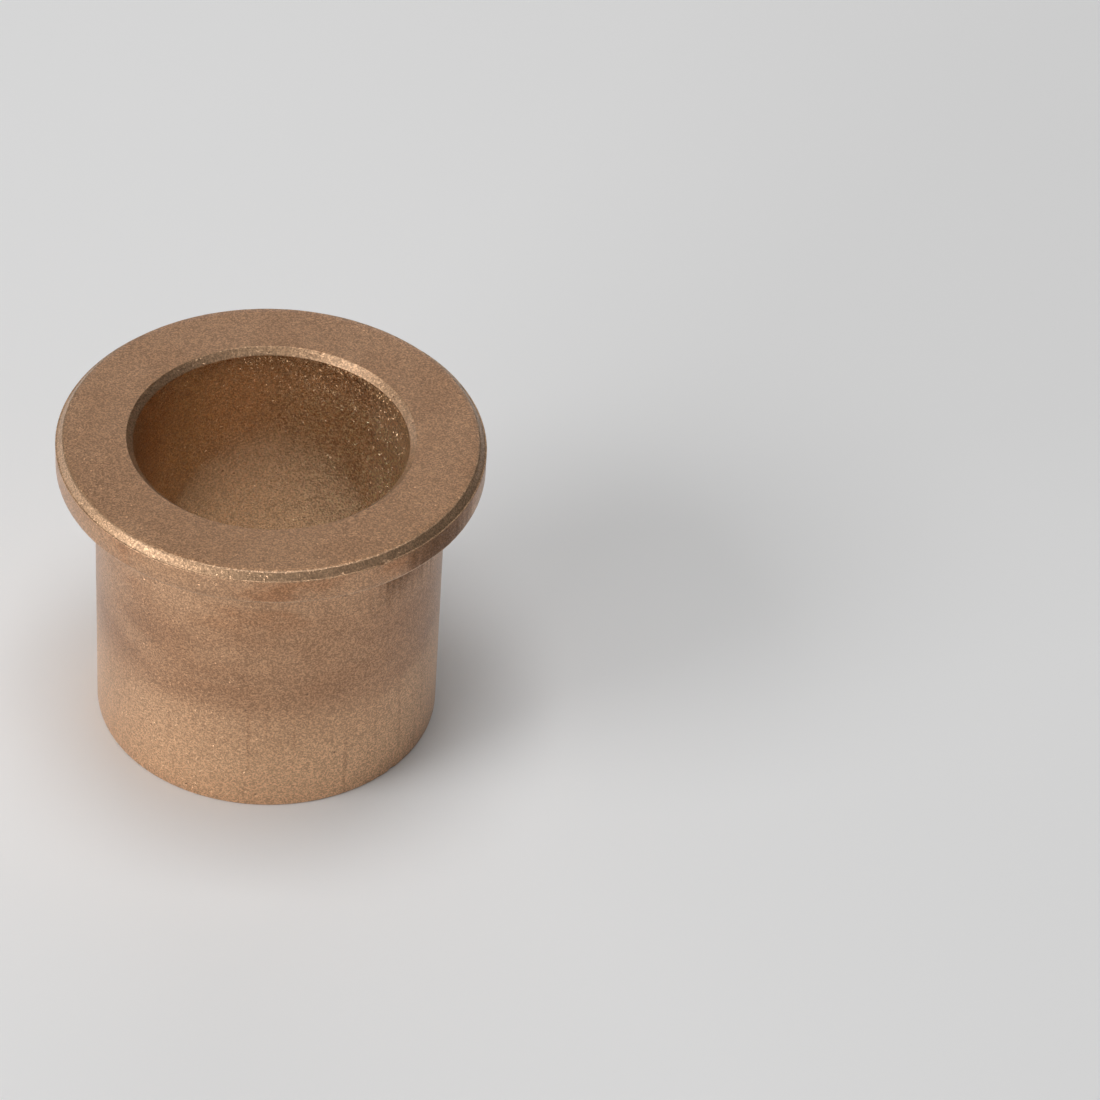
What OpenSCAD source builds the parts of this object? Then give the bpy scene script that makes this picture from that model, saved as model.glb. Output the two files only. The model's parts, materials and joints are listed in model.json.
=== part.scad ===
// Flanged sleeve bushing, pressed and sintered from bronze powder in one piece.
// A shaft runs in the bore, the sleeve presses into a housing, and the flange takes the end thrust.
// It stands on its plain end with the flange up. The origin is on the axis, in the plane of the
// flange's seating face, and +Z points along the axis out of the flanged end.

/* [Bore] */
// Inside diameter, a running fit on the shaft
bore_d = 25; // [8:0.5:60]
// Width of the 45 degree chamfer at both mouths of the bore
bore_chamfer = 0.6; // [0.2:0.1:0.8]

/* [Sleeve] */
// Thickness of the wall between the bore and the outside of the sleeve
wall = 3.5; // [2:0.25:8]
// Overall length, with the flange
length = 31; // [12:0.5:90]
// Width of the 45 degree chamfer that breaks the outer edge of the plain end
lead_chamfer = 0.1; // [0.1:0.05:0.5]

/* [Flange] */
// How far the flange stands out past the sleeve
flange_reach = 3.5; // [2:0.25:8]
// Thickness of the flange
flange_t = 3.2; // [2:0.1:6]
// Width of the 45 degree chamfer round the flange's outer face
rim_chamfer = 0.65; // [0.2:0.05:1]
// Radius of the flange's edge on the housing side
rim_round = 0.3; // [0.1:0.05:0.6]
// Radius of the fillet between the sleeve and the flange
seat_fillet = 0.3; // [0.1:0.05:0.6]

/* [Hidden] */

bore_r = bore_d / 2;
sleeve_r = bore_r + wall;
flange_r = sleeve_r + flange_reach;
// Height of the plain end, where the bushing stands
plain_end_z = flange_t - length;

$fn = 180;

// A right-angled triangle with both legs equal, at a corner of the section. The signs of toward_x
// and toward_y say which way its legs run.
module corner_triangle(at_x, at_y, leg, toward_x, toward_y) {
    translate([at_x, at_y])
        polygon([[0, 0], [toward_x * leg, 0], [0, toward_y * leg]]);
}

// The part of a square corner that lies outside a quarter circle tangent to both its sides
module corner_spandrel(at_x, at_y, radius, toward_x, toward_y) {
    translate([at_x, at_y])
        difference() {
            translate([toward_x < 0 ? -radius : 0, toward_y < 0 ? -radius : 0])
                square(radius);
            translate([toward_x * radius, toward_y * radius])
                circle(radius);
        }
}

// The sections below are in the plane of the axis: X is the radius and Y the height.
module sleeve_section() {
    difference() {
        translate([bore_r, plain_end_z])
            square([wall, length]);
        corner_triangle(sleeve_r, plain_end_z, lead_chamfer, -1, 1);
    }
}

module flange_section() {
    difference() {
        translate([bore_r, 0])
            square([wall + flange_reach, flange_t]);
        corner_triangle(flange_r, flange_t, rim_chamfer, -1, -1);
        corner_spandrel(flange_r, 0, rim_round, -1, 1);
    }
    corner_spandrel(sleeve_r, 0, seat_fillet, 1, -1);
}

// The one solid: sleeve and flange in one section, with both mouths of the bore chamfered
module flanged_bushing() {
    color("peru")
        rotate_extrude()
            difference() {
                union() {
                    sleeve_section();
                    flange_section();
                }
                corner_triangle(bore_r, flange_t, bore_chamfer, 1, -1);
                corner_triangle(bore_r, plain_end_z, bore_chamfer, 1, 1);
            }
}

flanged_bushing();
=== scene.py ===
"""The looks of the flanged bronze bushing: its finished surface, the floor, the light and the camera.

Lengths are in metres in the CAD frame: the origin is on the bore's axis in the plane of the flange's
seating face, and +Z points out of the flanged end. The bushing stands on its plain end.
An azimuth is in degrees, counted from the front, where the camera is, towards +X.
"""
import json
import math

import bmesh
import bpy
from mathutils import Matrix, Vector, noise


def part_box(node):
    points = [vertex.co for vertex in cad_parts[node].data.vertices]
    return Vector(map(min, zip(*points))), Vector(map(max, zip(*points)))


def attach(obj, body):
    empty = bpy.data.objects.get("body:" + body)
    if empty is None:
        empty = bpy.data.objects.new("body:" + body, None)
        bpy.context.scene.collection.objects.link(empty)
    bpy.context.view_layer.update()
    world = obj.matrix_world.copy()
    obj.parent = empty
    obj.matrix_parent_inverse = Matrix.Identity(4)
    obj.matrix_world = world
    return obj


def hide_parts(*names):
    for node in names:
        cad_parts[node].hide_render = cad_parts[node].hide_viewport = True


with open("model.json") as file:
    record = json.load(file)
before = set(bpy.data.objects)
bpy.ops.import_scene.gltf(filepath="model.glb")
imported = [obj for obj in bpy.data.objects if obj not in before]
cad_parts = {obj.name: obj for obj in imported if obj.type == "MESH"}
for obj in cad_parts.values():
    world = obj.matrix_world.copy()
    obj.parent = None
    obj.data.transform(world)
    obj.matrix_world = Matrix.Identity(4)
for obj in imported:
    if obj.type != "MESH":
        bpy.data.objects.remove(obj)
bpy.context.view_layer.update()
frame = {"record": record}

MM = 0.001
NODE = "flanged_bushing"
scene = bpy.context.scene

# ================================================================ sizes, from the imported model
mounts = {mount["name"]: mount for mount in frame["record"]["mounts"]}
node_low, node_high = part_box(NODE)
BORE_R = mounts["bore"]["dims"]["r_mm"] * MM
SLEEVE_R = mounts["sleeve_outside"]["dims"]["r_mm"] * MM
FLANGE_R = node_high[0]
FACE_Z = node_high[2]
SEAT_Z = mounts["flange_seat"]["pos_m"][2]
END_Z = node_low[2]
BORE_CHAMFER = (FACE_Z - END_Z - mounts["bore"]["dims"]["length_mm"] * MM) / 2


def on_bushing(azimuth, radius, height):
    """A point from its azimuth, its distance from the axis and its height."""
    turn = math.radians(azimuth)
    return Vector((radius * math.sin(turn), -radius * math.cos(turn), height))


# ================================================================ camera
# Where the middle of the picture looks, on the plane of the thrust face
AIM = Vector((25.85 * MM, -13.0 * MM, FACE_Z))
CAMERA_DISTANCE = 385.2 * MM
CAMERA_ELEVATION = math.radians(40.5)
CAMERA_ROLL = math.radians(4.3)
LENS_MM = 143.0
SENSOR_MM = 36.0
CLIP_NEAR, CLIP_FAR = 10 * MM, 10.0


def make_camera():
    """The camera looks down at the flanged end from the front, through a long lens."""
    camera = bpy.data.objects.new("camera", bpy.data.cameras.new("camera"))
    camera.data.lens = LENS_MM
    camera.data.sensor_width = SENSOR_MM
    camera.data.clip_start = CLIP_NEAR
    camera.data.clip_end = CLIP_FAR
    back = Vector((0.0, -math.cos(CAMERA_ELEVATION), math.sin(CAMERA_ELEVATION)))
    turn = (-back).to_track_quat("-Z", "Y").to_matrix() @ Matrix.Rotation(CAMERA_ROLL, 3, "Z")
    camera.matrix_world = Matrix.Translation(AIM + back * CAMERA_DISTANCE) @ turn.to_4x4()
    scene.collection.objects.link(camera)
    scene.camera = camera


# ================================================================ section of the bushing
# How many times the section is set around the axis
AROUND = 576
# Width of the small flat that the press punch leaves at the foot of the rim's chamfer
LAND = 0.12 * MM
RIM_CHAMFER = 0.65 * MM
LEAD_CHAMFER = 0.1 * MM
# Rounding of the flange's lower edge, and of the corner between the sleeve and the seating face
RIM_ROUND = 0.3 * MM
SEAT_FILLET = 0.3 * MM
# Rounding of the other corners, from the sharpest to the most worn
CRISP = 0.04 * MM
SOFT = 0.12 * MM
WORN = 0.25 * MM
# The largest turn from one point of a rounding to the next
ARC_STEP = math.radians(18)
# How far apart the points of a straight stretch are, by what the stretch is
SPACING = {"edge": 0.13 * MM, "punch_face": 0.45 * MM, "die_wall": 1.2 * MM, "bore_wall": 1.2 * MM}
# The stretches that are marked on the mesh for the material. What has none of these marks is a punch face.
MARKED_STRETCHES = ("edge", "die_wall", "bore_wall")
# How close to its ends a long straight stretch has a point, so that its shading stays flat between them
HOLD = 0.06 * MM


def section_corners():
    """The section's corners as (radius, height, rounding, stretch), from the bore's mouth outwards, down and
    back up the bore. The stretch is the one that starts at the corner."""
    mouth_r = BORE_R + BORE_CHAMFER
    return [
        (BORE_R, FACE_Z - BORE_CHAMFER, SOFT, "edge"),
        (mouth_r, FACE_Z, CRISP, "punch_face"),
        (FLANGE_R - RIM_CHAMFER, FACE_Z, WORN, "edge"),
        (FLANGE_R - LAND, FACE_Z - RIM_CHAMFER, CRISP, "edge"),
        (FLANGE_R, FACE_Z - RIM_CHAMFER, CRISP, "die_wall"),
        (FLANGE_R, SEAT_Z, RIM_ROUND, "punch_face"),
        (SLEEVE_R, SEAT_Z, SEAT_FILLET, "die_wall"),
        (SLEEVE_R, END_Z + LEAD_CHAMFER, CRISP, "edge"),
        (SLEEVE_R - LEAD_CHAMFER, END_Z, CRISP, "punch_face"),
        (mouth_r, END_Z, SOFT, "edge"),
        (BORE_R, END_Z + BORE_CHAMFER, SOFT, "bore_wall"),
    ]


def rounded(before, corner, after, radius):
    """The points of the arc that rounds a corner between its two neighbours."""
    to_before = (before - corner).normalized()
    to_after = (after - corner).normalized()
    half = to_before.angle(to_after) / 2
    centre = corner + (to_before + to_after).normalized() * (radius / math.sin(half))
    first = corner + to_before * (radius / math.tan(half)) - centre
    turn = math.pi - 2 * half
    way = 1 if to_after.cross(to_before) > 0 else -1
    steps = max(2, math.ceil(turn / ARC_STEP))
    return [centre + Matrix.Rotation(way * turn * step / steps, 2) @ first for step in range(steps + 1)]


def section_outline():
    """The closed section as a list of (point, stretch)."""
    corners = section_corners()
    places = [Vector((radius, height)) for radius, height, _, _ in corners]
    count = len(corners)
    arcs = [rounded(places[i - 1], places[i], places[(i + 1) % count], corners[i][2]) for i in range(count)]
    outline = []
    for i, arc in enumerate(arcs):
        stretch = corners[i][3]
        start, end = arc[-1], arcs[(i + 1) % count][0]
        length = (end - start).length
        steps = max(1, round(length / SPACING[stretch]))
        ways = [step / steps for step in range(1, steps)]
        if stretch != "edge":
            ways = [HOLD / length] + ways + [1 - HOLD / length]
        outline += [(point, "edge") for point in arc[:-1]]
        outline += [(start.lerp(end, way), stretch) for way in [0] + ways]
    return outline


# ================================================================ small unevenness of the real surface
# Dents and chips as (azimuth, radius, height, reach, depth)
DENTS = [
    (36, FLANGE_R, FACE_Z - 0.75 * MM, 0.5 * MM, 0.13 * MM),
    (-74, FLANGE_R, FACE_Z - 0.55 * MM, 0.4 * MM, 0.09 * MM),
    (141, FLANGE_R, FACE_Z - 0.6 * MM, 0.6 * MM, 0.12 * MM),
    (-158, FLANGE_R, SEAT_Z + 0.2 * MM, 0.5 * MM, 0.1 * MM),
    (98, FLANGE_R, SEAT_Z + 0.1 * MM, 0.45 * MM, 0.1 * MM),
    (165, BORE_R + 0.5 * MM, FACE_Z - 0.1 * MM, 0.3 * MM, 0.08 * MM),
    (-118, BORE_R + 0.5 * MM, FACE_Z - 0.1 * MM, 0.35 * MM, 0.07 * MM),
    (52, SLEEVE_R, END_Z + 0.1 * MM, 0.5 * MM, 0.1 * MM),
    (-131, SLEEVE_R, END_Z + 0.1 * MM, 0.6 * MM, 0.08 * MM),
    (172, SLEEVE_R, END_Z + 0.1 * MM, 0.4 * MM, 0.08 * MM),
]
DENT_CENTRES = [(on_bushing(*dent[:3]), *dent[3:]) for dent in DENTS]
# Depth and size of the lumps on the chamfers and corners, and of the gentle waves all over
LUMP_DEPTH, LUMP_SIZE = 0.035 * MM, 0.42 * MM
WAVE_DEPTH, WAVE_SIZE = 0.008 * MM, 2.6 * MM


def sink(place, stretch):
    """How far the real surface lies below the ideal one. It is never above it."""
    depth = WAVE_DEPTH * (0.5 + 0.5 * noise.noise(place / WAVE_SIZE))
    if stretch == "edge":
        # Two layers of noise, which together run from -1.5 to 1.5
        lumps = noise.noise(place / LUMP_SIZE) + 0.5 * noise.noise(place / (LUMP_SIZE / 2))
        depth += LUMP_DEPTH * (0.5 + lumps / 3)
    for centre, reach, deepest in DENT_CENTRES:
        away = (place - centre).length / reach
        if away < 1:
            depth += deepest * (1 - away * away) ** 2
    return max(0.0, depth)


def make_bushing():
    """The bushing's skin, turned about Z, with its unevenness, and each point marked with its stretch."""
    outline = section_outline()
    count = len(outline)
    build = bmesh.new()
    for i in range(AROUND):
        azimuth = 360 * i / AROUND
        for j, (point, stretch) in enumerate(outline):
            along = outline[(j + 1) % count][0] - outline[j - 1][0]
            normal = on_bushing(azimuth, -along.y, along.x).normalized()
            place = on_bushing(azimuth, point.x, point.y)
            build.verts.new(place - normal * sink(place, stretch))
    build.verts.ensure_lookup_table()
    for i in range(AROUND):
        this, following = i * count, (i + 1) % AROUND * count
        for j in range(count):
            k = (j + 1) % count
            build.faces.new([build.verts[n] for n in (this + j, following + j, following + k, this + k)])
    bmesh.ops.recalc_face_normals(build, faces=build.faces)
    mesh = bpy.data.meshes.new("bushing_skin")
    build.to_mesh(mesh)
    build.free()
    mesh.shade_smooth()
    for name in MARKED_STRETCHES:
        here = [1.0 if stretch == name else 0.0 for _, stretch in outline]
        marks = [(here[j] + here[j - 1]) / 2 for j in range(count)]
        mesh.attributes.new(name, "FLOAT", "POINT").data.foreach_set("value", marks * AROUND)
    mesh.materials.append(make_bronze())
    piece = bpy.data.objects.new("bushing_skin", mesh)
    scene.collection.objects.link(piece)
    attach(piece, "root")
    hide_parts(NODE)


# ================================================================ shader nodes
def node(tree, kind, values=None, **settings):
    """A new shader node. values maps an input to a number, a vector, a colour or another node's output."""
    made = tree.nodes.new("ShaderNode" + kind)
    for name, value in settings.items():
        setattr(made, name, value)
    for key, value in (values or {}).items():
        if isinstance(value, bpy.types.NodeSocket):
            tree.links.new(value, made.inputs[key])
        else:
            made.inputs[key].default_value = value
    return made


def maths(tree, operation, *operands):
    """The result of a Math node."""
    return node(tree, "Math", dict(enumerate(operands)), operation=operation).outputs[0]


def vector_maths(tree, operation, *operands):
    """The result of a Vector Math node."""
    made = node(tree, "VectorMath", dict(enumerate(operands)), operation=operation)
    return made.outputs["Value" if operation == "DOT_PRODUCT" else "Vector"]


def between(tree, value, low, high, to_low=0.0, to_high=1.0):
    """value, taken smoothly from the range low to high to the range to_low to to_high."""
    values = {"Value": value, "From Min": low, "From Max": high, "To Min": to_low, "To Max": to_high}
    return node(tree, "MapRange", values, interpolation_type="SMOOTHSTEP").outputs[0]


def mixed(tree, amount, first, second, blend="MIX"):
    """Two colours mixed by amount."""
    made = node(tree, "Mix", {0: amount, 6: first, 7: second}, data_type="RGBA", blend_type=blend)
    return made.outputs[2]


def blended(tree, amount, first, second):
    """A number that goes from first to second with amount. Each is a number or another node's output."""
    return node(tree, "Mix", {0: amount, 2: first, 3: second}).outputs[0]


def fog(tree, place, size, detail=2.0, rough=0.5, squeeze=(1, 1, 1)):
    """Noise from 0 to 1. Its features are about size millimetres, divided by squeeze along each axis."""
    spread = vector_maths(tree, "MULTIPLY", place, tuple(s / size for s in squeeze))
    values = {"Vector": spread, "Scale": 1.0, "Detail": detail, "Roughness": rough}
    return node(tree, "TexNoise", values).outputs[0]


def facing(tree, place, azimuth):
    """The cosine of the angle about the axis from the azimuth."""
    outwards = vector_maths(tree, "NORMALIZE", vector_maths(tree, "MULTIPLY", place, (1, 1, 0)))
    return vector_maths(tree, "DOT_PRODUCT", outwards, tuple(on_bushing(azimuth, 1, 0)))


# ================================================================ bronze
# Here lengths and heights are in millimetres, and a height is counted from the seating face. Names with SKIN
# are for the outside, and names with BORE for the bore's wall.

# Colours outside: the pressed skin, its paler, redder and smudged patches, the plain end made paler as a
# painted reflection of the bright floor, the rubbed chamfers and corners, and a painted dark reflection of a
# nearby object
SKIN = (0.52, 0.295, 0.162, 1)
PALE = (0.62, 0.375, 0.22, 1)
RED = (0.50, 0.255, 0.128, 1)
SMUDGE = (0.44, 0.24, 0.13, 1)
FLOOR_REFLECTION = (0.76, 0.48, 0.285, 1)
RUBBED_EDGE = (0.69, 0.485, 0.31, 1)
DARK_REFLECTION = (0.20, 0.095, 0.042, 1)
# Colours in the bore: its polished spots, the grain between them, that grain paler and golden on the side
# painted as lit, and the darker colour painted as shade on the far side, which also darkens the wall near
# the flanged mouth
BURNISHED = (0.70, 0.445, 0.265, 1)
BORE_GRAIN = (0.92, 0.60, 0.34, 1)
LIT_SIDE_GRAIN = (0.98, 0.675, 0.42, 1)
SHADED_SIDE_AND_MOUTH = (0.59, 0.37, 0.20, 1)
PORE = (0.26, 0.145, 0.085, 1)

# Sizes of the metal grains, of the specks on them, of the flakes that they are pressed into, of the cells
# that may hold a pore, and of the bore's polished spots
GRAIN, SPECK, FLAKE, PORE_CELL, POLISHED_SPOT = 0.15, 0.13, 0.12, 0.5, 0.06
# Sizes of the clouds, the patches and the drag marks
CLOUD, PATCH, DRAG = 5.0, 10.0, 0.7
# The patches lie flat, and the drag marks run up and down
PATCH_SQUEEZE = (1, 1, 2.2)
DRAG_SQUEEZE = (1, 1, 0.05)
# How much the specks add to the grain
SPECK_SHARE = 0.36

# A range is (low, high), or (low, high, result at low, result at high) when the results aren't 0 and 1.

# How much paler the skin is by its clouds, and how much more so on the die's walls
PALE_RANGE = (0.35, 0.65, 0.0, 0.4)
DIE_PALE = 0.5
# Where the die's walls are redder, by height and by the patches
RED_HEIGHTS = (-10.0, -2.0)
RED_RANGE = (0.45, 0.65)
# Where the sleeve is painted paler near its plain end, as a reflection of the bright floor, by height, and
# how far the patches move that
FLOOR_REFLECTION_HEIGHTS = (-9.0, -21.0)
FLOOR_REFLECTION_SHIFT = 8.0
# The smudged belt round the sleeve: its upper side, its lower side, and how strong it is by the patches
BELT_TOP = (-4.0, -10.0)
BELT_FOOT = (-19.0, -13.0)
BELT_RANGE = (0.3, 0.65, 0.25, 0.9)
# How strong the drag marks are, by their noise
DRAG_RANGE = (0.6, 0.72, 0.0, 0.35)
# How much of the rubbed colour the chamfers and corners take
EDGE_RUBBED = 0.4

# The middle of the painted dark reflection on the rim and under the flange, as an azimuth, and how many
# degrees it reaches either way
DARK_REFLECTION_AZIMUTH, DARK_REFLECTION_REACH = 57, 16
# How far the drag marks push the painted reflection's sides out, and how much of that is taken back, both as
# a cosine
DARK_REFLECTION_SIDE_SHIFT, DARK_REFLECTION_INSET = 0.05, 0.015
# The cosine from the painted reflection's middle at which it begins, and how much further in it is full
DARK_REFLECTION_SIDE = math.cos(math.radians(DARK_REFLECTION_REACH)) + DARK_REFLECTION_INSET
DARK_REFLECTION_FADE = 0.05
# The heights between which the painted reflection's foot fades out, and how far the drag marks move the foot
DARK_REFLECTION_HEIGHTS = (-5.0, 1.0)
DARK_REFLECTION_FOOT_SHIFT = 6.0

# The middle of the bore's side that is painted as lit, as an azimuth, and how far the clouds move that side
LIT_SIDE_AZIMUTH = 116
LIT_SIDE_SHIFT = 0.1
# By the cosine from that azimuth: the painted light on the lit side, the painted shade on the far side, and
# how much of the polish is left
LIT_SIDE = (0.2, 0.95)
SHADED_SIDE = (0.45, -0.65)
POLISH_ON_LIT_SIDE = (0.93, 1.03, 1.0, 0.2)
# The heights at which the wall turns darker towards the flanged mouth, and the noise at which it is polished
DARK_MOUTH_HEIGHTS = (-2.0, 2.2)
POLISHED_RANGE = (0.45, 0.55)

# Below this level of the grain the surface is a hollow, and from LEVEL_BLUR above it a plateau
SKIN_LEVEL, BORE_LEVEL = 0.50, 0.48
LEVEL_BLUR = 0.4
# How bright the hollows and the plateaus are, as parts of the colour
SKIN_HOLLOW_SHADE, BORE_HOLLOW_SHADE, PLATEAU_SHADE = 0.72, 0.82, 1.06
# How much the brightness differs from speck to speck. The last is for the bore's side painted as lit, where
# the larger differences are painted glints.
SKIN_CONTRAST, BORE_CONTRAST, LIT_SIDE_CONTRAST = 0.17, 0.25, 0.7
# Roughness of the plateaus outside and of the polished spots in the bore, and of what lies between them
SKIN_SMOOTH, BORE_SMOOTH = 0.45, 0.12
SKIN_COARSE, BORE_COARSE = 0.55, 0.5
# How much oil coats the metal outside, in the bore and under the painted dark reflection, and what the oil
# is like
SKIN_OIL, BORE_OIL, DARK_REFLECTION_OIL = 0.65, 0.2, 0.1
OIL_ROUGH, OIL_IOR = 0.3, 1.3

# How far the flakes lean, and the power that keeps most of them nearly flat. Polished spots don't lean.
SKIN_LEAN, BORE_LEAN = 0.75, 2.4
SKIN_LEAN_POWER, BORE_LEAN_POWER = 3.0, 1.3
# Depth of the hollows and of the pores
SKIN_DEPTH, BORE_DEPTH, PORE_DEPTH = 0.01, 0.0006, 0.05
# How many of the cells hold a pore, and where the pore's slope begins and ends, as parts of a cell
PORE_SHARE = 0.012
PORE_SLOPE = (0.3, 0.1)


def flaked_normal(tree, place, lean, power):
    """The surface's normal, leaned its own way on each flake."""
    cells = node(tree, "TexVoronoi", {"Vector": place, "Scale": 1 / FLAKE})
    draw = node(tree, "TexWhiteNoise", {"Vector": cells.outputs["Position"]}).outputs["Value"]
    lean = maths(tree, "MULTIPLY", lean, maths(tree, "POWER", draw, power))
    way = vector_maths(tree, "SUBTRACT", cells.outputs["Color"], (0.5, 0.5, 0.5))
    leaned = node(tree, "VectorMath", {0: way, "Scale": lean}, operation="SCALE").outputs[0]
    straight = node(tree, "NewGeometry").outputs["Normal"]
    return vector_maths(tree, "NORMALIZE", vector_maths(tree, "ADD", straight, leaned))


def pores(tree, place):
    """1 in small scattered pits and 0 elsewhere."""
    cells = node(tree, "TexVoronoi", {"Vector": place, "Scale": 1 / PORE_CELL})
    draw = node(tree, "SeparateColor", {0: cells.outputs["Color"]}).outputs[0]
    chosen = maths(tree, "LESS_THAN", draw, PORE_SHARE)
    near = between(tree, cells.outputs["Distance"], *PORE_SLOPE)
    return maths(tree, "MULTIPLY", near, chosen)


def painted_dark_reflection(tree, place, height, drag):
    """Up to 1 where a dark reflection is painted on the rim and the sleeve under it, with streaky sides and
    a faded foot.
    """
    ragged = maths(tree, "MULTIPLY_ADD", drag, DARK_REFLECTION_SIDE_SHIFT, facing(tree, place, DARK_REFLECTION_AZIMUTH))
    across = between(tree, ragged, DARK_REFLECTION_SIDE, DARK_REFLECTION_SIDE + DARK_REFLECTION_FADE)
    foot = maths(tree, "MULTIPLY_ADD", drag, DARK_REFLECTION_FOOT_SHIFT, height)
    return maths(tree, "MULTIPLY", across, between(tree, foot, *DARK_REFLECTION_HEIGHTS))


def skin_colour(tree, height, die_wall, cloud, drag, patch, dark_reflection):
    """The colour outside, before its grain. Away from the die's walls only the paler clouds show."""
    pale = maths(tree, "MULTIPLY_ADD", die_wall, DIE_PALE, between(tree, cloud, *PALE_RANGE))
    colour = mixed(tree, pale, SKIN, PALE)
    red = maths(tree, "MULTIPLY", between(tree, height, *RED_HEIGHTS), between(tree, patch, *RED_RANGE))
    # Paler towards the plain end: a painted reflection of the bright floor
    floor_reflection = between(tree, maths(tree, "MULTIPLY_ADD", patch, FLOOR_REFLECTION_SHIFT, height), *FLOOR_REFLECTION_HEIGHTS)
    belt = maths(tree, "MULTIPLY", between(tree, height, *BELT_TOP), between(tree, height, *BELT_FOOT))
    smudge = maths(tree, "MULTIPLY", belt, between(tree, patch, *BELT_RANGE))
    lines = between(tree, drag, *DRAG_RANGE)
    for amount, tint in ((red, RED), (floor_reflection, FLOOR_REFLECTION), (smudge, SMUDGE), (lines, SMUDGE)):
        colour = mixed(tree, maths(tree, "MULTIPLY", amount, die_wall), colour, tint)
    # A painted dark reflection of a nearby object, laid over the skin's colour
    return mixed(tree, dark_reflection, colour, DARK_REFLECTION)


def bore_colour(tree, height, toward_lit_side, lit_side, polished):
    """The colour of the bore's wall, before its grain: painted light on one side, painted shade on the
    other, and darker towards the flanged mouth.
    """
    shaded_side_and_mouth = maths(tree, "MAXIMUM", between(tree, toward_lit_side, *SHADED_SIDE), between(tree, height, *DARK_MOUTH_HEIGHTS))
    grain = mixed(tree, lit_side, BORE_GRAIN, LIT_SIDE_GRAIN)
    return mixed(tree, shaded_side_and_mouth, mixed(tree, polished, grain, BURNISHED), SHADED_SIDE_AND_MOUTH)


def grained(tree, colour, plateau, speck, contrast, bore_wall):
    """The colour, darker in the hollows and a little different on each speck."""
    hollow = blended(tree, bore_wall, SKIN_HOLLOW_SHADE, BORE_HOLLOW_SHADE)
    shade = between(tree, plateau, 0.0, 1.0, hollow, PLATEAU_SHADE)
    spotted = maths(tree, "MULTIPLY_ADD", maths(tree, "SUBTRACT", speck, 0.5), contrast, 1.0)
    shade = maths(tree, "MULTIPLY", shade, spotted)
    grey = node(tree, "CombineColor", {0: shade, 1: shade, 2: shade}).outputs[0]
    return mixed(tree, 1.0, colour, grey, blend="MULTIPLY")


def bumped_normal(tree, place, plateau, polished, pits, bore_wall):
    """The normal with the leaned flakes, the hollows and the pores."""
    relief = maths(tree, "MULTIPLY", plateau, blended(tree, bore_wall, SKIN_DEPTH, BORE_DEPTH))
    relief = maths(tree, "MULTIPLY_ADD", pits, -PORE_DEPTH, relief)
    lean = blended(tree, bore_wall, SKIN_LEAN, blended(tree, polished, BORE_LEAN, 0.0))
    power = blended(tree, bore_wall, SKIN_LEAN_POWER, BORE_LEAN_POWER)
    leaned = flaked_normal(tree, place, lean, power)
    values = {"Height": relief, "Strength": 1.0, "Distance": MM, "Normal": leaned}
    return node(tree, "Bump", values).outputs[0]


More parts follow.
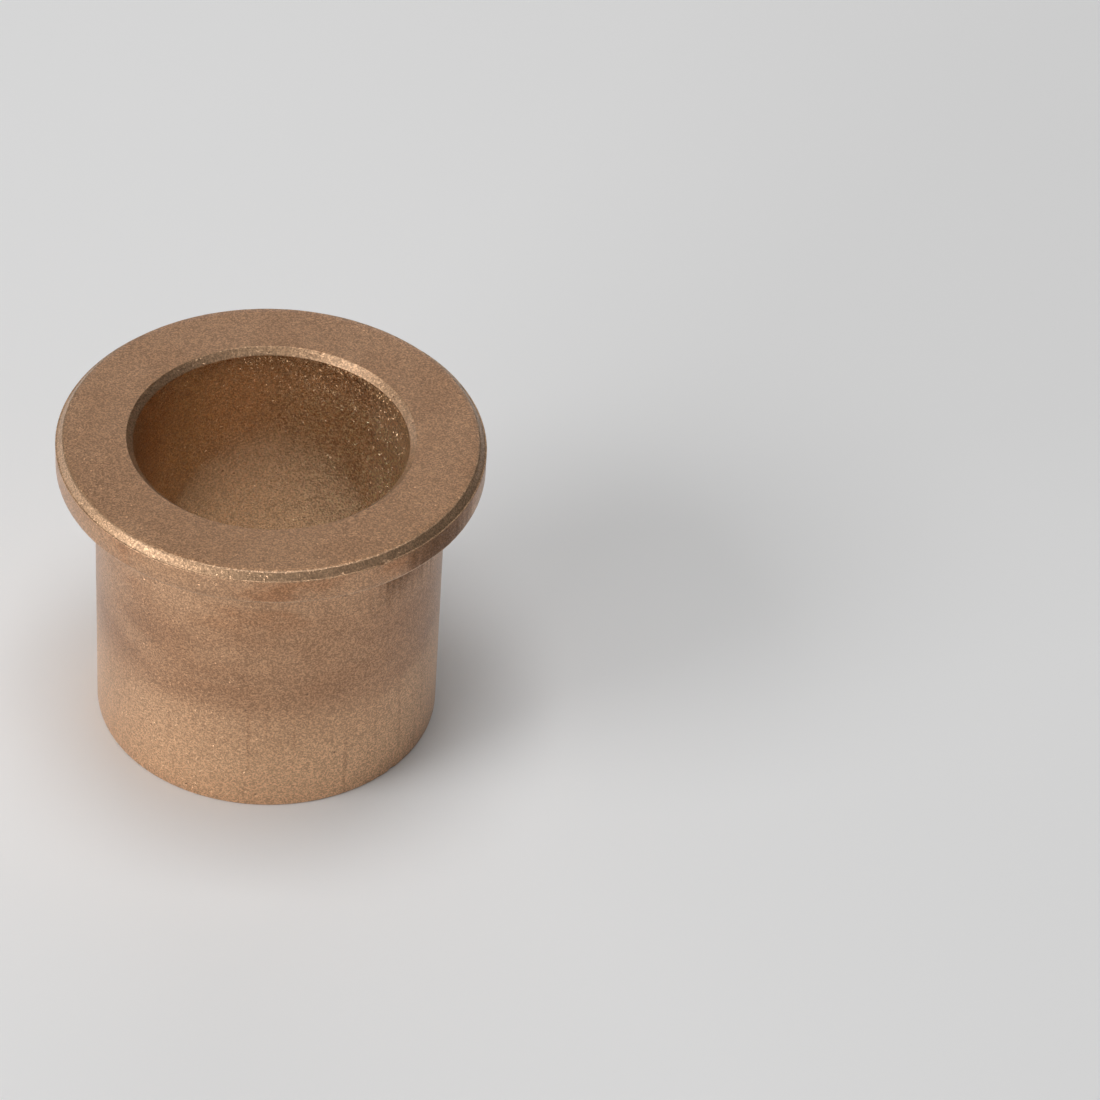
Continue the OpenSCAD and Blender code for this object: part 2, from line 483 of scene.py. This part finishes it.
def make_bronze():
    """Pressed and sintered bronze, with a trace of oil on it."""
    material = bpy.data.materials.new("pressed_bronze")
    material.use_nodes = True
    tree = material.node_tree
    shader = tree.nodes["Principled BSDF"]
    coordinates = node(tree, "TexCoord").outputs["Object"]
    place = vector_maths(tree, "MULTIPLY", coordinates, (1 / MM,) * 3)
    height = node(tree, "SeparateXYZ", {0: place}).outputs[2]
    marks = [node(tree, "Attribute", attribute_name=name).outputs["Fac"] for name in MARKED_STRETCHES]
    edge, die_wall, bore_wall = marks

    cells = node(tree, "TexVoronoi", {"Vector": place, "Scale": 1 / SPECK}).outputs["Color"]
    speck = node(tree, "SeparateColor", {0: cells}).outputs[0]
    grain = maths(tree, "MULTIPLY_ADD", speck, SPECK_SHARE, fog(tree, place, GRAIN))
    level = blended(tree, bore_wall, SKIN_LEVEL, BORE_LEVEL)
    plateau = between(tree, grain, level, maths(tree, "ADD", level, LEVEL_BLUR))
    pits = pores(tree, place)

    cloud = fog(tree, place, CLOUD, detail=3.0)
    patch = fog(tree, place, PATCH, detail=4.0, rough=0.6, squeeze=PATCH_SQUEEZE)
    drag = fog(tree, place, DRAG, squeeze=DRAG_SQUEEZE)
    # Where the dark reflection of a nearby object is painted on the die's walls
    dark_reflection = maths(tree, "MULTIPLY", painted_dark_reflection(tree, place, height, drag), die_wall)

    # The side of the bore on which light is painted, with painted shade on the side across from it
    toward_lit_side = maths(tree, "MULTIPLY_ADD", cloud, LIT_SIDE_SHIFT, facing(tree, place, LIT_SIDE_AZIMUTH))
    lit_side = between(tree, toward_lit_side, *LIT_SIDE)
    spots = between(tree, fog(tree, place, POLISHED_SPOT, detail=0.0), *POLISHED_RANGE)
    polished = maths(tree, "MULTIPLY", spots, between(tree, toward_lit_side, *POLISH_ON_LIT_SIDE))

    outside = skin_colour(tree, height, die_wall, cloud, drag, patch, dark_reflection)
    inside = bore_colour(tree, height, toward_lit_side, lit_side, polished)
    colour = mixed(tree, bore_wall, outside, inside)
    colour = mixed(tree, maths(tree, "MULTIPLY", edge, EDGE_RUBBED), colour, RUBBED_EDGE)
    # Painted glints: the specks differ more on the bore's painted lit side
    contrast = blended(tree, lit_side, BORE_CONTRAST, LIT_SIDE_CONTRAST)
    contrast = blended(tree, bore_wall, SKIN_CONTRAST, contrast)
    colour = grained(tree, colour, plateau, speck, contrast, bore_wall)
    tree.links.new(mixed(tree, pits, colour, PORE), shader.inputs["Base Color"])
    shader.inputs["Metallic"].default_value = 1.0

    oil = blended(tree, bore_wall, SKIN_OIL, BORE_OIL)
    # Less oil where the dark reflection is painted, so that its dark colour shows through
    tree.links.new(blended(tree, dark_reflection, oil, DARK_REFLECTION_OIL), shader.inputs["Coat Weight"])
    shader.inputs["Coat Roughness"].default_value = OIL_ROUGH
    shader.inputs["Coat IOR"].default_value = OIL_IOR

    smooth = blended(tree, bore_wall, SKIN_SMOOTH, BORE_SMOOTH)
    coarse = blended(tree, bore_wall, SKIN_COARSE, BORE_COARSE)
    flat = blended(tree, bore_wall, plateau, polished)
    tree.links.new(blended(tree, flat, coarse, smooth), shader.inputs["Roughness"])
    normal = bumped_normal(tree, place, plateau, polished, pits, bore_wall)
    tree.links.new(normal, shader.inputs["Normal"])
    return material


# ================================================================ floor and light
FLOOR_R = 3.0
FLOOR_SIDES = 96
FLOOR_WHITE = (0.88, 0.88, 0.88, 1)
FLOOR_ROUGH = 0.9


def make_floor():
    """A wide pale disc under the plain end."""
    build = bmesh.new()
    bmesh.ops.create_circle(build, cap_ends=True, segments=FLOOR_SIDES, radius=FLOOR_R)
    mesh = bpy.data.meshes.new("floor")
    build.to_mesh(mesh)
    build.free()
    floor = bpy.data.objects.new("floor", mesh)
    floor.location.z = END_Z
    scene.collection.objects.link(floor)
    material = bpy.data.materials.new("floor_white")
    material.use_nodes = True
    shader = material.node_tree.nodes["Principled BSDF"]
    shader.inputs["Base Color"].default_value = FLOOR_WHITE
    shader.inputs["Roughness"].default_value = FLOOR_ROUGH
    mesh.materials.append(material)


# The lights as (azimuth, elevation in degrees, width, height, radiance). Each faces the bushing.
LIGHTS = {
    "overhead": (0, 90, 0.5, 0.5, 5.1),
    "front_left_low": (-46, 8, 0.7, 0.24, 8.6),
    "front_left_high": (-62, 36, 0.4, 0.3, 5.6),
    "left_low": (-110, 8, 1.1, 0.24, 1.5),
    "behind": (180, 26, 0.7, 0.25, 1.9),
    "front_right_low": (35, 8, 0.6, 0.24, 1.7),
}
# How far each light is from the origin
LIGHT_DISTANCE = 0.9
# Strength of the dim even light from everywhere
SURROUNDINGS = 0.03


def softbox(name, azimuth, elevation, width, height, radiance):
    """A rectangular light that faces the bushing."""
    lamp = bpy.data.lights.new(name, "AREA")
    lamp.shape = "RECTANGLE"
    lamp.size, lamp.size_y = width, height
    lamp.energy = radiance * math.pi * width * height
    box = bpy.data.objects.new(name, lamp)
    rise = math.radians(elevation)
    box.location = on_bushing(azimuth, LIGHT_DISTANCE * math.cos(rise), LIGHT_DISTANCE * math.sin(rise))
    box.rotation_mode = "QUATERNION"
    box.rotation_quaternion = box.location.to_track_quat("Z", "Y")
    box.visible_camera = False
    scene.collection.objects.link(box)


def make_light():
    """The softboxes, and dim even surroundings."""
    world = bpy.data.worlds.new("studio")
    world.use_nodes = True
    background = world.node_tree.nodes["Background"]
    background.inputs["Color"].default_value = (1, 1, 1, 1)
    background.inputs["Strength"].default_value = SURROUNDINGS
    scene.world = world
    for name, values in LIGHTS.items():
        softbox(name, *values)
    scene.view_settings.view_transform = "Standard"


make_camera()
make_floor()
make_light()
make_bushing()
